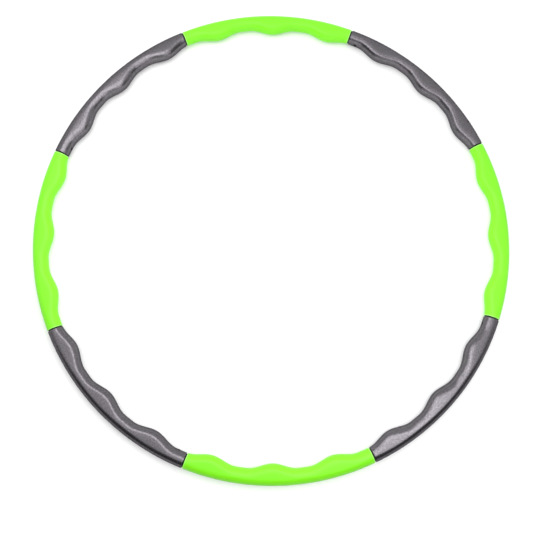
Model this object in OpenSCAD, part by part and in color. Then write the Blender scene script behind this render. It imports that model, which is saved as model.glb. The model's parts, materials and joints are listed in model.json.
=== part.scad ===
// Sectional wavy exercise hoop: eight hollow sections that plug together and lock with snap buttons.
// Millimetres. The hoop lies flat: the ring's axis is +Z and z = 0 is the surface it lies on.
// Section 1 is centred on +X and the sections are numbered counter-clockwise, seen from above.

/* [Hoop] */
// Outer diameter of the assembled hoop
hoop_d = 950; // [850:10:1050]
// Diameter of the round tube between the bumps
tube_d = 28.8; // [28:0.2:32]
// Wall of a moulded section
wall = 1.6; // [1.2:0.1:1.8]
// Gap between the ends of two joined sections
joint_gap = 0.3; // [0.2:0.1:0.6]

/* [Bumps] */
// How far a bump stands in towards the middle of the hoop
bump_h = 10.5; // [4:0.5:12]
// Half of the arc that a bump takes up, in degrees
bump_half = 6.25; // [5:0.25:6.75]
// Angle from a section's plug end to the middle of its first bump
bump_first = 6; // [6:0.1:7]
// Angle from one bump to the next
bump_pitch = 15; // [13.5:0.1:15]

/* [Plug and socket] */
// Radius of the coupling plug
plug_r = 11.8; // [11.2:0.1:12]
// Wall of the coupling plug
plug_wall = 2; // [1.6:0.1:2.2]
// Length of plug that goes into the next section
plug_out = 32; // [28:1:33]
// Length of plug that is fixed in its own section
plug_in = 26; // [22:1:30]
// Radial clearance between plug and socket
running_fit = 0.05; // [0.02:0.01:0.1]

/* [Snap clip] */
// Radius of the snap button's pin
button_r = 2.9; // [2.5:0.1:3.2]
// Distance from the joint to the middle of the button
button_back = 17; // [15:0.5:18]
// How far the button stands proud of the section
button_proud = 0.6; // [0:0.1:1.5]
// Width of the clip's spring strip
strip_w = 8; // [6:0.5:8]
// Thickness of the spring strip
strip_t = 0.5; // [0.3:0.1:0.6]

/* [Hidden] */
$fn = 64;

SECTIONS = 8;
span = 360 / SECTIONS;                 // arc of one section
bumps = 3;                             // bumps on one section

ring_r = (hoop_d - tube_d) / 2;        // radius of the tube's centre line
tube_r = tube_d / 2;
lie_z = tube_r;                        // height of the centre line over the surface
plug_shift = 0.5;                      // plug axis inside the centre line, so that it clears the curve
plug_axis_r = ring_r - plug_shift;

rings = 36;                            // rings of facets along a section
skin_sides = 16;                       // facets round the outer skin
core_sides = 12;                       // facets round the hollow core
neck_r = 10.6;                         // hollow radius at both ends, ahead of the bores
neck_rings = 3;                        // rings that keep the neck's radius

socket_depth = plug_out + 2;
overrun = 1;                           // how far a cutter runs past a face
bond_gap = 0.02;                       // glue line round the fixed half of the plug
lead_in = 2;                           // length of the cone on the plug's free end
lead_drop = 0.8;                       // how much that cone takes off the radius

pin_play = 0.08;                       // radial play of the button in the plug wall
skin_play = 0.4;                       // radial play of the button in the section's hole
flange_r = 3.8;                        // flange that keeps the button inside the plug
flange_t = 0.9;
flange_drop = 0.4;                     // room between the flange and the plug's bore
dome_rise = 0.9;                       // rounded tip of the button
dome_steps = 5;

leaf_play = 0.05;                      // room between the spring and what it lies against
leaf_end = 22;                         // both leaves end here, measured from the joint
bend_y = 8;                            // middle of the spring's bend, inside the section
bend_r = 2.2;
bend_turn = 58;                        // the bend's arc past the level
bend_steps = 6;

plug_bore = plug_r - plug_wall;
flange_top = sqrt(pow(plug_bore, 2) - pow(flange_r, 2)) - flange_drop;
leaf_back = sqrt(pow(plug_bore, 2) - pow(strip_w / 2, 2)) - strip_t / 2 - leaf_play;
push_h = flange_top - flange_t - strip_t / 2 - leaf_play;

lime = [0.50, 1.00, 0.20];
slate = [0.36, 0.35, 0.38];

// Where section k starts, at its plug end.
function start_angle(k) = span * (k - 1.5);

// How far the inner side stands in at angle a: a raised cosine for each bump, and flat between them.
function bump(a) =
    let (off = [for (i = [0:bumps - 1]) abs(a - bump_first - i * bump_pitch)])
    let (near = min(off))
    near < bump_half ? bump_h * (1 + cos(180 * near / bump_half)) / 2 : 0;

// Angle of ring i. The end rings stop half a joint gap short of the joint.
function ring_angle(i) =
    let (half_gap = asin(joint_gap / 2 / ring_r))
    min(max(span * i / rings, half_gap), span - half_gap);

// A point of the section's outline at angle a: the inner half of the circle moves in by rise.
function skin_point(a, t, r, rise) =
    let (x = ring_r + r * cos(t) - (cos(t) < 0 ? rise : 0))
    [x * cos(a), x * sin(a), lie_z + r * sin(t)];

// Triangles of a closed tube of n_rings outlines of n points each.
function tube_faces(n_rings, n) = concat(
    [[for (j = [n - 1:-1:0]) j]],
    [for (i = [0:n_rings - 2]) for (j = [0:n - 1])
        [i * n + j, (i + 1) * n + (j + 1) % n, (i + 1) * n + j]],
    [for (i = [0:n_rings - 2]) for (j = [0:n - 1])
        [i * n + j, i * n + (j + 1) % n, (i + 1) * n + (j + 1) % n]],
    [[for (j = [0:n - 1]) (n_rings - 1) * n + j]]
);

// The outer skin's facets lie outside its circle, so that they touch it and the tube keeps its size.
module skin() {
    flat_r = tube_r / cos(180 / skin_sides);
    points = [
        for (i = [0:rings])
            for (j = [0:skin_sides - 1])
                skin_point(ring_angle(i), 360 * (j + 0.5) / skin_sides, flat_r, bump(ring_angle(i)))
    ];
    polyhedron(points, tube_faces(rings + 1, skin_sides));
}

// The hollow follows the bumps, and narrows to a neck at both ends.
module core() {
    full_r = tube_r - wall;
    function at_neck(i) = i <= neck_rings || i >= rings - neck_rings;
    function core_angle(i) = i == 0 ? -0.1 : i == rings ? span + 0.1 : span * i / rings;
    points = [
        for (i = [0:rings])
            for (j = [0:core_sides - 1])
                skin_point(
                    core_angle(i),
                    360 * (j + 0.5) / core_sides,
                    at_neck(i) ? neck_r : full_r,
                    at_neck(i) ? 0 : bump(core_angle(i))
                )
    ];
    polyhedron(points, tube_faces(rings + 1, core_sides));
}

// Puts a child at the joint at angle a: the plug axis is the Y axis, and -X is the middle of the hoop.
module at_joint(a) {
    rotate([0, 0, a])
        translate([plug_axis_r, 0, lie_z])
            children();
}

// A cylinder along Y from y0 to y1.
module rod_y(r, y0, y1) {
    translate([0, y1, 0])
        rotate([90, 0, 0])
            cylinder(r = r, h = y1 - y0);
}

// Puts a child at a button: +Z points out through the wall, towards the middle of the hoop.
module at_button() {
    translate([0, -button_back, 0])
        rotate([0, -90, 0])
            children();
}

module section(k) {
    color(k % 2 == 1 ? lime : slate)
        rotate([0, 0, start_angle(k)])
            difference() {
                skin();
                core();
                at_joint(0)
                    rod_y(plug_r + bond_gap, -overrun, plug_in);
                at_joint(span) {
                    rod_y(plug_r + running_fit, -socket_depth, overrun);
                    at_button()
                        cylinder(r = button_r + skin_play, h = tube_d);
                }
            }
}

module plug(k) {
    color("dimgray")
        at_joint(start_angle(k))
            difference() {
                union() {
                    rod_y(plug_r, lead_in - plug_out, plug_in);
                    translate([0, lead_in - plug_out, 0])
                        rotate([90, 0, 0])
                            cylinder(r1 = plug_r, r2 = plug_r - lead_drop, h = lead_in);
                }
                rod_y(plug_bore, -plug_out - overrun, plug_in + overrun);
                at_button()
                    cylinder(r = button_r + pin_play, h = tube_d);
            }
}

// Centre line of the spring: fixed leaf, bend, sloping leaf, then flat under the button.
function spring_path() =
    let (mid = bend_r - leaf_back)
    let (leave = [bend_y + bend_r * cos(bend_turn), mid + bend_r * sin(bend_turn)])
    let (reach = (push_h - leave[1]) * tan(bend_turn))
    concat(
        [[-leaf_end, -leaf_back]],
        [for (i = [0:bend_steps])
            let (t = -90 + (90 + bend_turn) * i / bend_steps)
            [bend_y + bend_r * cos(t), mid + bend_r * sin(t)]],
        [[leave[0] - reach, push_h], [-leaf_end, push_h]]
    );

// Unit normal of the path at point i, from the two points beside it.
function path_normal(path, i) =
    let (step = path[min(i + 1, len(path) - 1)] - path[max(i - 1, 0)])
    [-step[1], step[0]] / norm(step);

module clip_spring(k) {
    path = spring_path();
    last = len(path) - 1;
    outline = concat(
        [for (i = [0:last]) path[i] + path_normal(path, i) * strip_t / 2],
        [for (i = [last:-1:0]) path[i] - path_normal(path, i) * strip_t / 2]
    );
    color("silver")
        at_joint(start_angle(k))
            translate([0, 0, -strip_w / 2])
                linear_extrude(strip_w)
                    polygon([for (p = outline) [-p[1], p[0]]]);
}

// A button has the colour of the section that it shows in, or is black in a slate one.
module snap_button(k) {
    // The inner side of the section is a little off the plug axis at the button, because of the curve.
    skin_out = plug_axis_r - sqrt(pow(ring_r, 2) - pow(button_back, 2)) + tube_r;
    tip = skin_out + button_proud;
    dome_r = (pow(button_r, 2) + pow(dome_rise, 2)) / (2 * dome_rise);
    dome_turn = asin(button_r / dome_r);
    profile = concat(
        [[0, flange_top - flange_t], [flange_r, flange_top - flange_t], [flange_r, flange_top]],
        [[button_r, flange_top]],
        [for (i = [0:dome_steps])
            let (t = dome_turn * (1 - i / dome_steps))
            [dome_r * sin(t), tip - dome_r + dome_r * cos(t)]]
    );
    color(k % 2 == 0 ? lime : [0.10, 0.10, 0.11])
        at_joint(start_angle(k))
            at_button()
                rotate_extrude()
                    polygon(profile);
}

for (k = [1:SECTIONS]) {
    section(k);
    plug(k);
    clip_spring(k);
    snap_button(k);
}
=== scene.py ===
import bmesh
import bpy
import json
import math
from mathutils import Matrix, Vector


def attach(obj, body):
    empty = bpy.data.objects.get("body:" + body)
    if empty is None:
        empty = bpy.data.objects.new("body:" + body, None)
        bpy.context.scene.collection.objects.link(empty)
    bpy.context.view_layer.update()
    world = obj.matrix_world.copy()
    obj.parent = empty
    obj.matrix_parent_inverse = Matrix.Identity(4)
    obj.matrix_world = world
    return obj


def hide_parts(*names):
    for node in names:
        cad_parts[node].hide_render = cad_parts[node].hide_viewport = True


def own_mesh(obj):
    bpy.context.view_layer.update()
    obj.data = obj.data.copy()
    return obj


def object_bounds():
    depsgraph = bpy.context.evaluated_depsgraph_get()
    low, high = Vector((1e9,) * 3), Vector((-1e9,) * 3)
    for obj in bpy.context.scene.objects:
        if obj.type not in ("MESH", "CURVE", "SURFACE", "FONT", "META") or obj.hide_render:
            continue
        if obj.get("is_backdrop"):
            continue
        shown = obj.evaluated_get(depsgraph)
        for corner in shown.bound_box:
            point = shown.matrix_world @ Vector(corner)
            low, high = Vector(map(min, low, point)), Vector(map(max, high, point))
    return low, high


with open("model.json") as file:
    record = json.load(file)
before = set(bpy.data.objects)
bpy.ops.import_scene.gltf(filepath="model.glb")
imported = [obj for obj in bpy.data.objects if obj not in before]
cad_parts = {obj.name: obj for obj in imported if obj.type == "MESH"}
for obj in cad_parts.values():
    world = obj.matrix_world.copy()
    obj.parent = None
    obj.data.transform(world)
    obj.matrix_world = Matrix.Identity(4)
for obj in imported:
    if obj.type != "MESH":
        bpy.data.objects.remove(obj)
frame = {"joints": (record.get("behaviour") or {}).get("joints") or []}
cadLow, cadHigh = (Vector(corner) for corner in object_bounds())
print("frame loaded")

mm = 0.001

hoop = {
    "sections": 8,
    "outerRadius": (cadHigh.x - cadLow.x) / 2,
    "tubeRadius": (cadHigh.z - cadLow.z) / 2,
    "lieHeight": (cadHigh.z + cadLow.z) / 2,  # height of the tube's centre line
    "jointGap": 0.3 * mm,
    "wall": 1.6 * mm,
}
ringRadius = hoop["outerRadius"] - hoop["tubeRadius"]
sectionArc = 2 * math.pi / hoop["sections"]


class Value:
    # a node's output socket; sums and products of values add their own Math nodes
    def __init__(self, graph, socket):
        self.graph = graph
        self.socket = socket

    def out(self, name):
        return Value(self.graph, self.socket.node.outputs[name])

    def __add__(self, other):
        return self.graph.calc("ADD", self, other)

    def __radd__(self, other):
        return self.graph.calc("ADD", other, self)

    def __sub__(self, other):
        return self.graph.calc("SUBTRACT", self, other)

    def __rsub__(self, other):
        return self.graph.calc("SUBTRACT", other, self)

    def __mul__(self, other):
        return self.graph.calc("MULTIPLY", self, other)

    def __rmul__(self, other):
        return self.graph.calc("MULTIPLY", other, self)

    def __truediv__(self, other):
        return self.graph.calc("DIVIDE", self, other)


class Graph:
    # a node tree that nodes are added to, each with its settings and its inputs, values or fixed
    def __init__(self, tree):
        self.tree = tree
        tree.nodes.clear()

    def add(self, kind, settings=None, inputs=None):
        node = self.tree.nodes.new(kind)
        for name, setting in (settings or {}).items():
            setattr(node, name, setting)
        for name, value in (inputs or {}).items():
            if isinstance(value, Value):
                self.tree.links.new(value.socket, node.inputs[name])
            else:
                node.inputs[name].default_value = value
        shown = [s for s in node.outputs if s.enabled]
        return Value(self, shown[0]) if shown else node

    def calc(self, operation, a, b=0.0, clamp=False):
        return self.add("ShaderNodeMath", {"operation": operation, "use_clamp": clamp}, {0: a, 1: b})

    def clamp(self, value):
        return self.calc("ADD", value, 0.0, clamp=True)

    def blend(self, share, colour, other):  # share 0 gives the first colour, 1 the other
        return self.add("ShaderNodeMix", {"data_type": "RGBA"}, {0: share, 6: colour, 7: other}).out(2)

    def smooth(self, value):  # 0 to 1 with level ends
        x = self.clamp(value)
        return x * x * (3 - 2 * x)


bumps = {
    "count": 3,
    "height": 10.5 * mm,
    "halfArc": math.radians(6.25),
    "first": math.radians(6),  # from the plug end to the middle of the first bump
    "pitch": math.radians(15),
    "crestSoftness": math.radians(10),  # half of the crown that the front face of a bump keeps
}

skin = {
    "stations": 260,
    "sides": 96,
    "edgeRadius": 1.2 * mm,  # rounding of the section ends
    "edgeSteps": 4,
    "grooveHalf": 0.9 * mm,  # half the width of the groove round a joint
    "grooveDepth": 1.8 * mm,
    "hollowStations": 90,
    "weld": 0.01 * mm,  # points closer than this become one
}

fit = {
    "axisShift": 0.5 * mm,  # plug axis inside the tube's centre line
    "plugRadius": 11.8 * mm,
    "plugBore": 9.8 * mm,
    "plugOut": 32 * mm,
    "plugIn": 26 * mm,
    "bond": 0.02 * mm,  # clearance round the half of the plug that is fixed
    "running": 0.05 * mm,  # and round the half that slides
    "socketDepth": 34 * mm,
    "mouthChamfer": 0.5 * mm,
    "neckRadius": 10.6 * mm,  # the hollow behind each bore
    "neckRun": 2 * mm,  # how far the neck goes straight on
    "plugRamp": 5 * mm,  # from the plug's bore to where the hollow is full width
    "socketRamp": 4 * mm,  # and from the socket's bore
    "boreStep": 1.3 * mm,
    "noseRadius": 1.6 * mm,
    "noseTurn": 60,  # degrees of the nose's rounding
    "noseSteps": 8,
    "plugEdge": 0.4 * mm,
    "edgeSteps": 3,
}

button = {
    "back": 17 * mm,  # from the joint to the middle of the button
    "radius": 2.9 * mm,
    "skinHole": 3.3 * mm,
    "plugHole": 2.98 * mm,
    "proud": 0.6 * mm,
    "dome": 0.9 * mm,
    "flangeRadius": 3.8 * mm,
    "flangeDrop": 0.4 * mm,  # room between the flange and the plug's bore
    "flangeThick": 0.9 * mm,
    "flangeRings": (0.4, 0.8),  # rings in its flat underside, as shares of its radius
    "edge": 0.25 * mm,  # rounding of the flange and of the hole in the plug
    "edgeSteps": 4,
    "holeEdge": 0.45 * mm,  # rounding of the hole in the section
    "domeSteps": 10,
    "sides": 48,
}
button["flangeTop"] = math.sqrt(fit["plugBore"] ** 2 - button["flangeRadius"] ** 2) - button["flangeDrop"]

spring = {
    "width": 8 * mm,
    "thick": 0.5 * mm,
    "play": 0.05 * mm,  # room between the spring and what it lies against
    "leafEnd": 22 * mm,  # both leaves end here, measured from the joint
    "bendAlong": 8 * mm,
    "bendRadius": 2.2 * mm,
    "bendTurn": math.radians(58),  # the bend's arc past the level
    "bendSteps": 14,
    "fillet": 1.5 * mm,  # where the sloping leaf goes flat
    "filletSteps": 5,
    "edge": 0.12 * mm,
    "edgeSteps": 2,
}
plugAxisRadius = ringRadius - fit["axisShift"]


def buildSkinTree():
    tree = bpy.data.node_groups.new("wavySkin", "GeometryNodeTree")
    face = tree.interface
    face.new_socket("Geometry", in_out="OUTPUT", socket_type="NodeSocketGeometry")
    for name in ("Ring Radius", "Tube Radius", "Lie Height", "From Angle", "To Angle", "Bump Height",
                 "Bump Half Arc", "First Bump", "Bump Pitch", "Crest Softness"):
        face.new_socket(name, in_out="INPUT", socket_type="NodeSocketFloat")
    for name in ("Stations", "Sides"):
        face.new_socket(name, in_out="INPUT", socket_type="NodeSocketInt")
    face.new_socket("Finish", in_out="INPUT", socket_type="NodeSocketMaterial")
    g = Graph(tree)
    given = g.add("NodeGroupInput")
    size = {s.name: given.out(s.name) for s in face.items_tree if s.in_out == "INPUT"}
    grid = g.add("GeometryNodeMeshGrid", None, {
        "Size X": 1.0, "Size Y": 1.0, "Vertices X": size["Stations"], "Vertices Y": size["Sides"] + 1})
    place = g.add("ShaderNodeSeparateXYZ", None, {0: g.add("GeometryNodeInputPosition")})
    along = place.out("X") + 0.5
    around = (place.out("Y") + 0.5) * (2 * math.pi)
    angle = size["From Angle"] + along * (size["To Angle"] - size["From Angle"])
    rise = None
    for i in range(bumps["count"]):  # the bumps don't meet, so their heights add up
        off = g.calc("ABSOLUTE", angle - size["First Bump"] - size["Bump Pitch"] * i)
        near = g.clamp(off / size["Bump Half Arc"])
        one = (g.calc("COSINE", near * math.pi) + 1) * size["Bump Height"] / 2
        rise = one if rise is None else rise + one
    across = g.calc("COSINE", around)
    soft = g.calc("SINE", size["Crest Softness"])
    share = g.smooth((soft - across) / (soft * 2))  # 0 on the back, 1 on the inner side
    out = size["Ring Radius"] + size["Tube Radius"] * across - rise * share
    up = size["Lie Height"] + size["Tube Radius"] * g.calc("SINE", around)
    spot = g.add("ShaderNodeCombineXYZ", None, {
        "X": out * g.calc("COSINE", angle), "Y": out * g.calc("SINE", angle), "Z": up})
    moved = g.add("GeometryNodeSetPosition", None, {"Geometry": grid, "Position": spot})
    closed = g.add("GeometryNodeMergeByDistance", None, {"Geometry": moved, "Distance": skin["weld"]})
    smoothed = g.add("GeometryNodeSetShadeSmooth", None, {"Geometry": closed, "Shade Smooth": True})
    real = g.add("GeometryNodeRealizeInstances", None, {"Geometry": smoothed})
    done = g.add("GeometryNodeSetMaterial", None, {"Geometry": real, "Material": size["Finish"]})
    g.add("NodeGroupOutput", None, {"Geometry": done})
    return tree


def bakeTree(name, tree, values, start=None):
    # runs a tree on a start mesh, or an empty one, and keeps the result as a plain mesh
    holder = bpy.data.objects.new(name, start or bpy.data.meshes.new(name))
    bpy.context.scene.collection.objects.link(holder)
    modifier = holder.modifiers.new("build", "NODES")
    modifier.node_group = tree
    for item in tree.interface.items_tree:
        if item.in_out == "INPUT" and item.name in values:
            modifier[item.identifier] = values[item.name]
    bpy.context.view_layer.update()
    seen = holder.evaluated_get(bpy.context.evaluated_depsgraph_get())
    mesh = bpy.data.meshes.new_from_object(seen)
    bpy.data.objects.remove(holder)
    return mesh


def jointSpot(angle, radial, along, up):
    # a point given at the joint at angle: radial from the plug axis, along the tangent, and up
    turn = Matrix.Rotation(angle, 4, "Z")
    return turn @ Vector((plugAxisRadius + radial, along, hoop["lieHeight"] + up))


def addRing(bm, angle, along, radius, centre):
    # a circle across the tube, centred that far outside the plug axis
    sides = skin["sides"]
    return [
        bm.verts.new(jointSpot(
            angle,
            centre + radius * math.cos(2 * math.pi * j / sides),
            along,
            radius * math.sin(2 * math.pi * j / sides),
        ))
        for j in range(sides)
    ]


def joinRings(bm, first, second):
    count = len(first)
    for j in range(count):
        k = (j + 1) % count
        bm.faces.new((first[j], second[j], second[k], first[k]))


def endLoop(verts, angle):
    # the open edge of a skin near the joint at angle, in order round the tube from its back
    turn = Matrix.Rotation(-angle, 4, "Z")
    found = []
    for vert in verts:
        spot = turn @ vert.co
        if vert.is_boundary and abs(math.atan2(spot.y, spot.x)) < sectionArc / 3:
            found.append((math.hypot(spot.x, spot.y), spot.z - hoop["lieHeight"], vert))
    middle = (max(f[0] for f in found) + min(f[0] for f in found)) / 2
    nudge = 0.001  # keeps the vertex at the very back first
    found.sort(key=lambda f: (math.atan2(f[1], f[0] - middle) + nudge) % (2 * math.pi))
    return [f[2] for f in found]


window = {
    "half": 5.4 * mm,  # a hole's window reaches this far each way from the button's axis
    "skin": (1.4 * mm, 3 * mm),  # and takes the faces this far under and over a surface
    "socket": (4 * mm, 0.2 * mm),
    "plugOutside": (0.6 * mm, 0.1 * mm),
    "plugInside": (4 * mm, 0.1 * mm),
    "rimSpread": 2.2,  # first loop round a rounded rim, in roundings out from the hole
}


def cutHole(bm, angle, surface, band, steps):
    # opens a round hole about the button's axis in the faces near a surface of that radius;
    # steps are (radius, height of a point) loops from the window to the hole
    half = window["half"]
    lowest, highest = surface - band[0], surface + band[1]
    turn = Matrix.Rotation(-angle, 4, "Z")

    def local(point):
        spot = turn @ point
        return spot.y + button["back"], spot.z - hoop["lieHeight"], plugAxisRadius - spot.x

    doomed = []
    for face in bm.faces:
        along, up, height = local(face.calc_center_median())
        if abs(along) < half and abs(up) < half and lowest < height < highest:
            doomed.append(face)
    rim = {v for f in doomed for v in f.verts if any(other not in doomed for other in v.link_faces)}
    bmesh.ops.delete(bm, geom=doomed, context="FACES")
    rim = sorted(rim, key=lambda v: math.atan2(local(v.co)[1], local(v.co)[0]))
    loops = [rim]
    for radius, height in steps:
        ring = []
        for vert in rim:
            along, up, _ = local(vert.co)
            way = math.atan2(up, along)
            a, u = radius * math.cos(way), radius * math.sin(way)
            ring.append(bm.verts.new(jointSpot(angle, -height(a, u), a - button["back"], u)))
        joinRings(bm, loops[-1], ring)
        loops.append(ring)
    return loops[-1]


def skinHeight(along, up):
    # height of the tube's inner side over the plug axis, near the button
    reach = ringRadius - math.sqrt(hoop["tubeRadius"] ** 2 - up ** 2)
    return plugAxisRadius - math.sqrt(reach ** 2 - (along - button["back"]) ** 2)


def boreHeight(radius):
    return lambda along, up: math.sqrt(radius ** 2 - up ** 2)


def roundedHole(hole, rounding, height):
    # steps of a hole whose outer rim is rounded over
    steps = [(hole + rounding * window["rimSpread"], height), (hole + rounding, height)]
    for lean in (30, 60, 90):
        down = rounding * (1 - math.cos(math.radians(lean)))
        radius = hole + rounding * (1 - math.sin(math.radians(lean)))
        steps.append((radius, lambda a, u, down=down: height(a, u) - down))
    return steps


def bridgeHoles(bm, *rings):
    # walls a hole between the two surfaces that it goes through
    edges = [
        bm.edges.get((ring[j], ring[(j + 1) % len(ring)]))
        for ring in rings
        for j in range(len(ring))
    ]
    bmesh.ops.bridge_loops(bm, edges=edges)


def finishMesh(bm, name):
    bmesh.ops.recalc_face_normals(bm, faces=bm.faces[:])
    mesh = bpy.data.meshes.new(name)
    bm.to_mesh(mesh)
    bm.free()
    for polygon in mesh.polygons:
        polygon.use_smooth = True
    return mesh


def buildShell():
    # one section at angle 0: outer skin, rounded ends, bores and the hollow inside
    tree = buildSkinTree()
    edge = skin["edgeRadius"]
    halfGap = hoop["jointGap"] / 2
    lip = skin["grooveHalf"]
    inset = (lip + edge) / ringRadius
    sizes = {
        "Ring Radius": ringRadius, "Tube Radius": hoop["tubeRadius"], "Lie Height": hoop["lieHeight"],
        "From Angle": inset, "To Angle": sectionArc - inset, "Bump Height": bumps["height"],
        "Bump Half Arc": bumps["halfArc"], "First Bump": bumps["first"], "Bump Pitch": bumps["pitch"],
        "Crest Softness": bumps["crestSoftness"], "Stations": skin["stations"], "Sides": skin["sides"],
    }
    outer = bakeTree("outerSkin", tree, sizes)
    hollow = dict(sizes)
    hollow["Tube Radius"] = hoop["tubeRadius"] - hoop["wall"]
    hollow["From Angle"] = (fit["plugIn"] + fit["plugRamp"]) / ringRadius
    hollow["To Angle"] = sectionArc - (fit["socketDepth"] + fit["socketRamp"]) / ringRadius
    hollow["Stations"] = skin["hollowStations"]
    inner = bakeTree("innerSkin", tree, hollow)

    bm = bmesh.new()
    bm.from_mesh(inner)
    bmesh.ops.reverse_faces(bm, faces=bm.faces[:])
    innerVerts = bm.verts[:]
    bm.from_mesh(outer)
    outerVerts = bm.verts[len(innerVerts):]
    ends = [[endLoop(verts, angle) for verts in (outerVerts, innerVerts)] for angle in (0, sectionArc)]

    bonded, running = fit["plugRadius"] + fit["bond"], fit["plugRadius"] + fit["running"]
    bores = [(0, 1, bonded, fit["plugIn"]), (sectionArc, -1, running, fit["socketDepth"])]
    for (angle, way, bore, depth), (skinLoop, hollowLoop) in zip(bores, ends):
        rings = [skinLoop]
        for i in range(1, skin["edgeSteps"] + 1):
            lean = math.pi / 2 * i / skin["edgeSteps"]
            rings.append(addRing(bm, angle, way * (lip + edge * (1 - math.sin(lean))),
                                 hoop["tubeRadius"] - edge * (1 - math.cos(lean)), fit["axisShift"]))
        floor = hoop["tubeRadius"] - skin["grooveDepth"]
        rings.append(addRing(bm, angle, way * lip, floor, fit["axisShift"]))
        rings.append(addRing(bm, angle, way * halfGap, floor, fit["axisShift"]))
        chamfer = fit["mouthChamfer"]
        rings.append(addRing(bm, angle, way * halfGap, bore + chamfer, 0))
        steps = math.ceil((depth - chamfer) / fit["boreStep"])
        for i in range(steps + 1):
            along = halfGap + chamfer + (depth - halfGap - chamfer) * i / steps
            rings.append(addRing(bm, angle, way * along, bore, 0))
        rings.append(addRing(bm, angle, way * depth, fit["neckRadius"], 0))
        rings.append(addRing(bm, angle, way * (depth + fit["neckRun"]), fit["neckRadius"], 0))
        rings.append(hollowLoop)
        for first, second in zip(rings, rings[1:]):
            if way > 0:
                joinRings(bm, second, first)
            else:
                joinRings(bm, first, second)

    hole, rounding = button["skinHole"], button["holeEdge"]
    socket = boreHeight(running)
    outside = cutHole(bm, sectionArc, hoop["tubeRadius"], window["skin"],
                      roundedHole(hole, rounding, skinHeight))
    inside = cutHole(bm, sectionArc, fit["plugRadius"], window["socket"], [
        (hole + rounding, socket),
        (hole, socket),
    ])
    bridgeHoles(bm, outside, inside)
    return finishMesh(bm, "sectionShell")


def arcPoints(centre, radius, fromTurn, toTurn, steps):
    # points on an arc, as (radius, height) pairs of a turned profile
    return [
        (centre[0] + radius * math.cos(math.radians(fromTurn + (toTurn - fromTurn) * i / steps)),
         centre[1] + radius * math.sin(math.radians(fromTurn + (toTurn - fromTurn) * i / steps)))
        for i in range(steps + 1)
    ]


def buildPlug():
    # a plain sleeve with a rounded nose, at angle 0: the free end points to the section before
    outer, bore = fit["plugRadius"], fit["plugBore"]
    nose, edge, turns = fit["noseRadius"], fit["plugEdge"], fit["edgeSteps"]
    profile = [
        *arcPoints((bore + edge, fit["plugIn"] - edge), edge, 180, 90, turns),
        *arcPoints((outer - edge, fit["plugIn"] - edge), edge, 90, 0, turns),
    ]
    body = fit["plugIn"] + fit["plugOut"] - nose - edge
    steps = math.ceil(body / fit["boreStep"])
    profile += [(outer, fit["plugIn"] - edge - body * i / steps) for i in range(1, steps)]
    profile += arcPoints((outer - nose, nose - fit["plugOut"]), nose, 0, -fit["noseTurn"], fit["noseSteps"])
    profile += arcPoints((bore + edge, edge - fit["plugOut"]), edge, -90, -180, turns)
    body = fit["plugIn"] + fit["plugOut"] - 2 * edge
    steps = math.ceil(body / fit["boreStep"])
    profile += [(bore, edge - fit["plugOut"] + body * i / steps) for i in range(1, steps)]
    bm = bmesh.new()
    rings = [addRing(bm, 0, along, radius, 0) for radius, along in profile]
    for first, second in zip(rings, rings[1:] + rings[:1]):
        joinRings(bm, first, second)
    hole, rounding = button["plugHole"], button["edge"]
    outside = cutHole(bm, 0, outer, window["plugOutside"],
                      roundedHole(hole, rounding, boreHeight(outer)))
    inside = cutHole(bm, 0, bore, window["plugInside"], [
        (hole + rounding, boreHeight(bore)),
        (hole, boreHeight(bore)),
    ])
    bridgeHoles(bm, outside, inside)
    return finishMesh(bm, "plugSleeve")


def buildButton():
    # turned about the button's own axis at angle 0: flange, pin and domed tip
    reach = plugAxisRadius - math.sqrt(ringRadius ** 2 - button["back"] ** 2) + hoop["tubeRadius"]
    tip = reach + button["proud"]
    pin, dome, edge = button["radius"], button["dome"], button["edge"]
    domeRadius = (pin ** 2 + dome ** 2) / (2 * dome)
    domeTurn = math.degrees(math.asin(pin / domeRadius))
    low, top = button["flangeTop"] - button["flangeThick"], button["flangeTop"]
    wide, turns = button["flangeRadius"], button["edgeSteps"]
    profile = [
        *((wide * share, low) for share in button["flangeRings"]),
        *arcPoints((wide - edge, low + edge), edge, -90, 0, turns),
        *arcPoints((wide - edge, top - edge), edge, 0, 90, turns),
        *arcPoints((pin + edge, top + edge), edge, -90, -180, turns),
        (pin, (top + tip) / 2),
        *arcPoints((0, tip - domeRadius), domeRadius, 90 - domeTurn, 90, button["domeSteps"])[:-1],
    ]
    bm = bmesh.new()
    sides = button["sides"]

    def spot(radius, height, turn):
        return jointSpot(0, -height, radius * math.cos(turn) - button["back"], radius * math.sin(turn))

    rings = [
        [bm.verts.new(spot(radius, height, 2 * math.pi * j / sides)) for j in range(sides)]
        for radius, height in profile
    ]
    for first, second in zip(rings, rings[1:]):
        joinRings(bm, first, second)
    for ring, height in ((rings[0], low), (rings[-1], tip)):
        middle = bm.verts.new(spot(0, height, 0))
        for j in range(sides):
            bm.faces.new((ring[j], ring[(j + 1) % sides], middle))
    return finishMesh(bm, "buttonPin")


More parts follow.
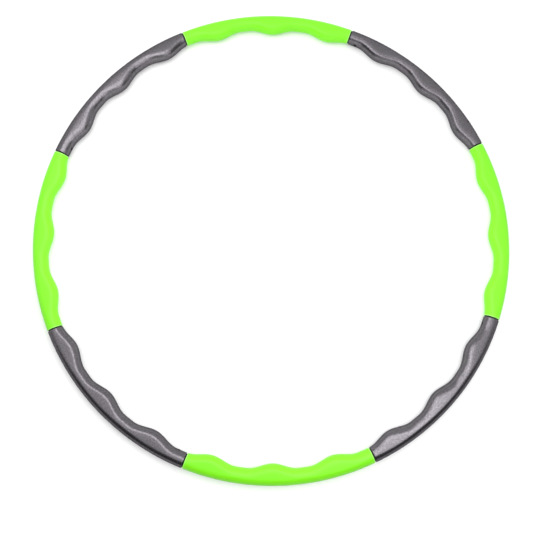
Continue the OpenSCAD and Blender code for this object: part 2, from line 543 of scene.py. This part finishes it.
def buildStripTree():
    # a strip bent along the start mesh's edges
    tree = bpy.data.node_groups.new("bentStrip", "GeometryNodeTree")
    face = tree.interface
    face.new_socket("Geometry", in_out="OUTPUT", socket_type="NodeSocketGeometry")
    face.new_socket("Geometry", in_out="INPUT", socket_type="NodeSocketGeometry")
    for name in ("Width", "Thickness", "Fillet", "Edge"):
        face.new_socket(name, in_out="INPUT", socket_type="NodeSocketFloat")
    face.new_socket("Finish", in_out="INPUT", socket_type="NodeSocketMaterial")
    g = Graph(tree)
    given = g.add("NodeGroupInput")
    path = g.add("GeometryNodeMeshToCurve", None, {"Mesh": given.out("Geometry")})
    upright = g.add("GeometryNodeSetCurveNormal", {"mode": "Z_UP"}, {"Curve": path})
    bent = g.add("GeometryNodeFilletCurve", {"mode": "POLY"}, {
        "Curve": upright, "Radius": given.out("Fillet"), "Limit Radius": True,
        "Count": spring["filletSteps"]})
    section = g.add("GeometryNodeCurvePrimitiveQuadrilateral", None, {
        "Width": given.out("Thickness"), "Height": given.out("Width")})
    rounded = g.add("GeometryNodeFilletCurve", {"mode": "POLY"}, {
        "Curve": section, "Radius": given.out("Edge"), "Limit Radius": True,
        "Count": spring["edgeSteps"]})
    swept = g.add("GeometryNodeCurveToMesh", None, {
        "Curve": bent, "Profile Curve": rounded, "Fill Caps": True})
    real = g.add("GeometryNodeRealizeInstances", None, {"Geometry": swept})
    done = g.add("GeometryNodeSetMaterial", None, {"Geometry": real, "Material": given.out("Finish")})
    g.add("NodeGroupOutput", None, {"Geometry": done})
    return tree


def springPath():
    # (along, height) points: fixed leaf, bend, sloping leaf, then flat under the button
    thick, play, turn = spring["thick"], spring["play"], spring["bendTurn"]
    back = math.sqrt(fit["plugBore"] ** 2 - (spring["width"] / 2) ** 2) - thick / 2 - play
    push = button["flangeTop"] - button["flangeThick"] - thick / 2 - play
    middle = (spring["bendAlong"], spring["bendRadius"] - back)
    bend = arcPoints(middle, spring["bendRadius"], -90, math.degrees(turn), spring["bendSteps"])
    flat = bend[-1][0] - (push - bend[-1][1]) * math.tan(turn)
    return [(-spring["leafEnd"], -back), *bend, (flat, push), (-spring["leafEnd"], push)]


def buildSpring():
    path = springPath()
    start = bpy.data.meshes.new("leafPath")
    spots = [jointSpot(0, -height, along, 0) for along, height in path]
    start.from_pydata(spots, [(i, i + 1) for i in range(len(spots) - 1)], [])
    return bakeTree("leafSpring", buildStripTree(), {
        "Width": spring["width"], "Thickness": spring["thick"], "Fillet": spring["fillet"],
        "Edge": spring["edge"]}, start)


def placeCopies(mesh, title, node, body, finishes):
    # one copy at every joint, turned to its place, riding on its body
    pieces = []
    for k in range(hoop["sections"]):
        turned = mesh.copy()
        turned.transform(Matrix.Rotation(sectionArc * (k - 0.5), 4, "Z"))
        turned.materials.clear()
        turned.materials.append(finishes[k % len(finishes)])
        piece = bpy.data.objects.new(f"{title}{k + 1}", turned)
        bpy.context.scene.collection.objects.link(piece)
        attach(piece, f"{body}_{k + 1}")
        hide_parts(f"{node}_{k + 1}")
        pieces.append(piece)
    print(f"{title} placed, {len(mesh.polygons)} faces each")
    return pieces


def bendLeaves(leaves):
    # gives each leaf its own mesh; the share of its button's travel is worked out but not used, so the leaf
    # is not bent
    travel = {joint["name"]: joint["range_m"][1] for joint in frame["joints"]}
    path = springPath()
    back, push = path[0][1] - spring["thick"] / 2, path[-1][1] + spring["thick"] / 2
    for k, leaf in enumerate(leaves):
        turn = sectionArc * (k - 0.5)
        outward = Vector((math.cos(turn), math.sin(turn), 0))
        still = outward * (plugAxisRadius - back) + Vector((0, 0, hoop["lieHeight"]))
        joint = f"press_button_{k + 1}"
        1 - travel[joint] / (push - back)
        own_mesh(leaf)


def newFinish(name):
    material = bpy.data.materials.new(name)
    material.use_nodes = True
    return material, Graph(material.node_tree)


def finishFrom(g, settings, inputs):
    # one plastic or metal shader with its sockets set, wired to the output
    shader = g.add("ShaderNodeBsdfPrincipled", None, {**settings, **inputs})
    g.add("ShaderNodeOutputMaterial", None, {"Surface": shader})


mould = {
    "bumpStrength": 0.5,
    "bumpDepth": 0.1 * mm,
    "seamHalf": 0.22 * mm,  # half the width of the ridge where the mould's halves met
}

jointMark = {
    "dark": 0.95 * mm,  # painted shade: the step in a joint is painted dark this far from its middle, as the gap's shadow
    "lipHighlight": 2.3 * mm,  # and the rounded lip beside it gets a painted highlight as far as this
    "fade": 0.25 * mm,
    "lipHighlightFade": 3,  # the lip's far edge fades over this many times that
}


def noise(g, spot, scale, detail):
    return g.add("ShaderNodeTexNoise", None, {"Vector": spot, "Scale": scale, "Detail": detail})


def bumpOf(g, height, strength, depth):
    return g.add("ShaderNodeBump", None, {"Height": height, "Strength": strength, "Distance": depth})


def partingLine(g, spot):
    # hairline ridge where the halves of the mould met, at the tube's middle height
    height = g.add("ShaderNodeSeparateXYZ", None, {0: spot}).out("Z")
    off = g.calc("ABSOLUTE", height - hoop["lieHeight"])
    return 1 - g.smooth(off / mould["seamHalf"])


def jointMasks(g, spot):
    # two masks by distance from the nearest joint: the step, painted dark as shade in the gap, and the lip
    # beside it, painted pale as a highlight
    way = g.add("ShaderNodeSeparateXYZ", None, {0: spot})
    x, y = g.calc("ABSOLUTE", way.out("X")), g.calc("ABSOLUTE", way.out("Y"))
    long, short = math.cos(sectionArc / 2), math.sin(sectionArc / 2)
    first = g.calc("ABSOLUTE", y * long - x * short)
    second = g.calc("ABSOLUTE", y * short - x * long)
    gone = g.calc("MINIMUM", first, second)
    past = g.smooth((gone - jointMark["dark"]) / jointMark["fade"])
    fade = jointMark["fade"] * jointMark["lipHighlightFade"]
    lipHighlight = past * (1 - g.smooth((gone - jointMark["lipHighlight"]) / fade))
    return 1 - past, lipHighlight


lime = {
    "fresh": (0.200, 0.78, 0.004, 1),
    "deep": (0.176, 0.74, 0.003, 1),
    # painted highlight: the pale colour on the rounded lip beside a joint, where the edge catches the light
    "lipHighlight": (0.42, 0.97, 0.22, 1),
    # painted shade: the dark colour of the joint's step, where the gap's shadow falls
    "step": (0.030, 0.055, 0.015, 1),
    "cloudScale": 9.0,
    "grainScale": 1400.0,
    "lipHighlightLeast": 0.35,  # how strong the lip's painted highlight is at least
    "lipHighlightCloud": 0.5,  # and how much stronger the painted highlight is in places
    "grainHeight": 0.25,
    "roughness": 0.42,
    "roughnessGrain": 0.08,
    "bend": 1.45,  # index of refraction
    "gloss": 0.52,
}


def limePlastic():
    material, g = newFinish("limePlastic")
    spot = g.add("ShaderNodeTexCoord").out("Object")
    cloud = noise(g, spot, lime["cloudScale"], detail=3.0)
    grain = noise(g, spot, lime["grainScale"], detail=2.0)
    # painted shade on the joint's step and a painted highlight on the lip beside it
    step, lipHighlight = jointMasks(g, spot)
    colour = g.blend(cloud, lime["deep"], lime["fresh"])
    # the lip's painted highlight, made stronger in places by the cloud
    pale = lipHighlight * (lime["lipHighlightLeast"] + cloud * lime["lipHighlightCloud"])
    colour = g.blend(pale, colour, lime["lipHighlight"])
    colour = g.blend(step, colour, lime["step"])
    height = grain * lime["grainHeight"] + partingLine(g, spot)
    finishFrom(g, {"IOR": lime["bend"], "Specular IOR Level": lime["gloss"]}, {
        "Base Color": colour,
        "Roughness": lime["roughness"] + grain * lime["roughnessGrain"],
        "Normal": bumpOf(g, height, mould["bumpStrength"], mould["bumpDepth"])})
    return material


slate = {
    "base": (0.073, 0.068, 0.075, 1),
    "fleck": (0.187, 0.176, 0.192, 1),
    # painted shade: the dark colour of the joint's step, where the gap's shadow falls
    "step": (0.012, 0.011, 0.013, 1),
    "edgeTint": (0.25, 0.245, 0.255, 1),  # keeps the grazing reflections grey
    "cloudScale": 14.0,
    "fleckScale": 1500.0,
    "mottleScale": 380.0,
    "fleckFrom": 0.42,  # a fleck is where its noise is over this
    "fleckEdge": 5,
    "cloudShare": 0.25,  # parts of cloud, fleck and mottle in the paler colour
    "fleckShare": 0.45,
    "mottleShare": 1.2,
    "leastShare": 0.1,
    "fleckHeight": 0.3,
    "roughness": 0.22,
    "roughnessCloud": 0.06,
    "bend": 1.5,
    "metal": 0.9,
}


def slatePlastic():
    material, g = newFinish("slatePlastic")
    spot = g.add("ShaderNodeTexCoord").out("Object")
    cloud = noise(g, spot, slate["cloudScale"], detail=3.0)
    fleck = noise(g, spot, slate["fleckScale"], detail=2.0)
    mottle = noise(g, spot, slate["mottleScale"], detail=2.0) - 0.5
    mask = g.smooth((fleck - slate["fleckFrom"]) * slate["fleckEdge"])
    share = cloud * slate["cloudShare"] + mask * slate["fleckShare"]
    share = g.clamp(share + mottle * slate["mottleShare"] + slate["leastShare"])
    # painted shade: the joint's step is painted dark where the gap's shadow falls
    step = jointMasks(g, spot)[0]
    colour = g.blend(step, g.blend(share, slate["base"], slate["fleck"]), slate["step"])
    height = fleck * slate["fleckHeight"] + partingLine(g, spot)
    fixed = {"IOR": slate["bend"], "Metallic": slate["metal"], "Specular Tint": slate["edgeTint"]}
    finishFrom(g, fixed, {
        "Base Color": colour,
        "Roughness": slate["roughness"] + cloud * slate["roughnessCloud"],
        "Normal": bumpOf(g, height, mould["bumpStrength"], mould["bumpDepth"])})
    return material


grainy = {  # the two black plastics: grain from the darker colour to the lighter
    "plugPlastic": {
        "dark": (0.016, 0.016, 0.018, 1), "light": (0.030, 0.030, 0.033, 1),
        "grainScale": 900.0, "detail": 3.0, "strength": 0.4,
        "roughness": 0.42, "roughnessGrain": 0.16, "bend": 1.48, "gloss": 0.5,
    },
    "buttonPlastic": {
        "dark": (0.004, 0.004, 0.005, 1), "light": (0.009, 0.009, 0.010, 1),
        "grainScale": 1800.0, "detail": 2.0, "strength": 0.25,
        "roughness": 0.65, "roughnessGrain": 0.1, "bend": 1.45, "gloss": 0.1,
    },
}


def blackPlastic(name):
    material, g = newFinish(name)
    look = grainy[name]
    spot = g.add("ShaderNodeTexCoord").out("Object")
    grain = noise(g, spot, look["grainScale"], look["detail"])
    finishFrom(g, {"IOR": look["bend"], "Specular IOR Level": look["gloss"]}, {
        "Base Color": g.blend(grain, look["dark"], look["light"]),
        "Roughness": look["roughness"] + grain * look["roughnessGrain"],
        "Normal": bumpOf(g, grain, look["strength"], mould["bumpDepth"])})
    return material


steel = {
    "dark": (0.42, 0.43, 0.46, 1),
    "light": (0.62, 0.62, 0.63, 1),
    "brush": (400, 400, 4000),  # the brush marks are close together across the strip's width
    "bumpStrength": 0.3,
    "bumpDepth": 0.05 * mm,
    "roughness": 0.24,
    "roughnessBrush": 0.16,
}


def springSteel():
    material, g = newFinish("springSteel")
    spot = g.add("ShaderNodeTexCoord").out("Object")
    stretched = g.add("ShaderNodeVectorMath", {"operation": "MULTIPLY"}, {0: spot, 1: steel["brush"]})
    brush = noise(g, stretched, 1.0, detail=3.0)
    finishFrom(g, {"Metallic": 1.0}, {
        "Base Color": g.blend(brush, steel["dark"], steel["light"]),
        "Roughness": steel["roughness"] + brush * steel["roughnessBrush"],
        "Normal": bumpOf(g, brush, steel["bumpStrength"], steel["bumpDepth"])})
    return material


limeFinish, slateFinish = limePlastic(), slatePlastic()
plugFinish, buttonFinish = blackPlastic("plugPlastic"), blackPlastic("buttonPlastic")
print("finishes ready")
placeCopies(buildShell(), "shell", "section", "section",
            (limeFinish, slateFinish))
placeCopies(buildPlug(), "sleeve", "plug", "section", (plugFinish,))
leaves = placeCopies(buildSpring(), "leafSpring", "clip_spring", "section",
                     (springSteel(),))
bendLeaves(leaves)
placeCopies(buildButton(), "button", "snap_button", "snap_button",
            (buttonFinish, limeFinish))

studio = {
    "floorSize": 12,
    "floorShade": 0.76,
    "floorGlow": 0.2,
    "floorRough": 0.9,
    "floorGloss": 0.1,
    "skyStrength": 1.12,
    "frontShade": 0.97,  # how much darker the sky is over the near side
    "topGlow": 0.7,  # how much brighter it is straight up
    "nearEdge": (0.18, 0.12),  # how near the dark stretch starts, and how far on it is full
    "highEdge": (0.1, 0.2),  # the same for how high
    "topEdge": (0.86, 0.1),  # and for the bright top
    "camera": (-0.0397, -0.2042, 1.1272),
    "tilt": (9.884, -0.993, -1.402),
    "lens": 36.98,
    "shift": (0.0182, -0.0636),
    "softbox": {"spot": (0, 0, 0.85), "turn": (0, 0, 135), "size": (1.7, 0.42), "power": 6.75},
    "fillCard": {"spot": (0, -0.2, 0.28), "turn": (90, 0, 0), "size": (0.66, 0.52), "power": 1.2},
}


def buildFloor():
    size = studio["floorSize"] / 2
    mesh = bpy.data.meshes.new("floor")
    corners = [(-size, -size, 0), (size, -size, 0), (size, size, 0), (-size, size, 0)]
    mesh.from_pydata(corners, [], [(0, 1, 2, 3)])
    floor = bpy.data.objects.new("floor", mesh)
    bpy.context.scene.collection.objects.link(floor)
    material, g = newFinish("palePaper")
    shade = studio["floorShade"]
    finishFrom(g, {
        "Roughness": studio["floorRough"], "Specular IOR Level": studio["floorGloss"],
        "Emission Strength": studio["floorGlow"],
    }, {"Base Color": (shade, shade, shade, 1), "Emission Color": (1, 1, 1, 1)})
    mesh.materials.append(material)
    floor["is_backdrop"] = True


def comeIn(g, value, edge):
    start, run = edge
    return g.smooth((value - start) / run)


def buildSky():
    # pale all round, with a dark stretch high over the near side that the camera itself doesn't see
    world = bpy.data.worlds.new("studio")
    world.use_nodes = True
    g = Graph(world.node_tree)
    way = g.add("ShaderNodeSeparateXYZ", None, {0: g.add("ShaderNodeTexCoord").out("Generated")})
    near = comeIn(g, 0 - way.out("Y"), studio["nearEdge"])
    high = comeIn(g, way.out("Z"), studio["highEdge"])
    top = comeIn(g, way.out("Z"), studio["topEdge"])
    shade = near * high * (1 - g.add("ShaderNodeLightPath").out("Is Camera Ray")) * studio["frontShade"]
    strength = studio["skyStrength"] * (1 - shade + top * studio["topGlow"])
    glow = g.add("ShaderNodeBackground", None, {"Color": (1, 1, 1, 1), "Strength": strength})
    g.add("ShaderNodeOutputWorld", None, {"Surface": glow})
    bpy.context.scene.world = world


def buildLight(name):
    # the softbox hangs over the ring from far left to near right;
    # the card stands inside the ring and faces its far side
    given = studio[name]
    light = bpy.data.lights.new(name, "AREA")
    light.shape = "RECTANGLE"
    light.size, light.size_y = given["size"]
    light.energy = given["power"]
    lamp = bpy.data.objects.new(name, light)
    lamp.location = given["spot"]
    lamp.rotation_euler = [math.radians(a) for a in given["turn"]]
    lamp.visible_camera = False
    bpy.context.scene.collection.objects.link(lamp)


def buildCamera():
    lens = bpy.data.cameras.new("camera")
    lens.lens = studio["lens"]
    lens.shift_x, lens.shift_y = studio["shift"]
    camera = bpy.data.objects.new("camera", lens)
    camera.location = studio["camera"]
    camera.rotation_euler = [math.radians(a) for a in studio["tilt"]]
    bpy.context.scene.collection.objects.link(camera)
    bpy.context.scene.camera = camera
    bpy.context.scene.view_settings.view_transform = "Standard"


buildFloor()
buildSky()
buildLight("softbox")
buildLight("fillCard")
buildCamera()
print("studio built")
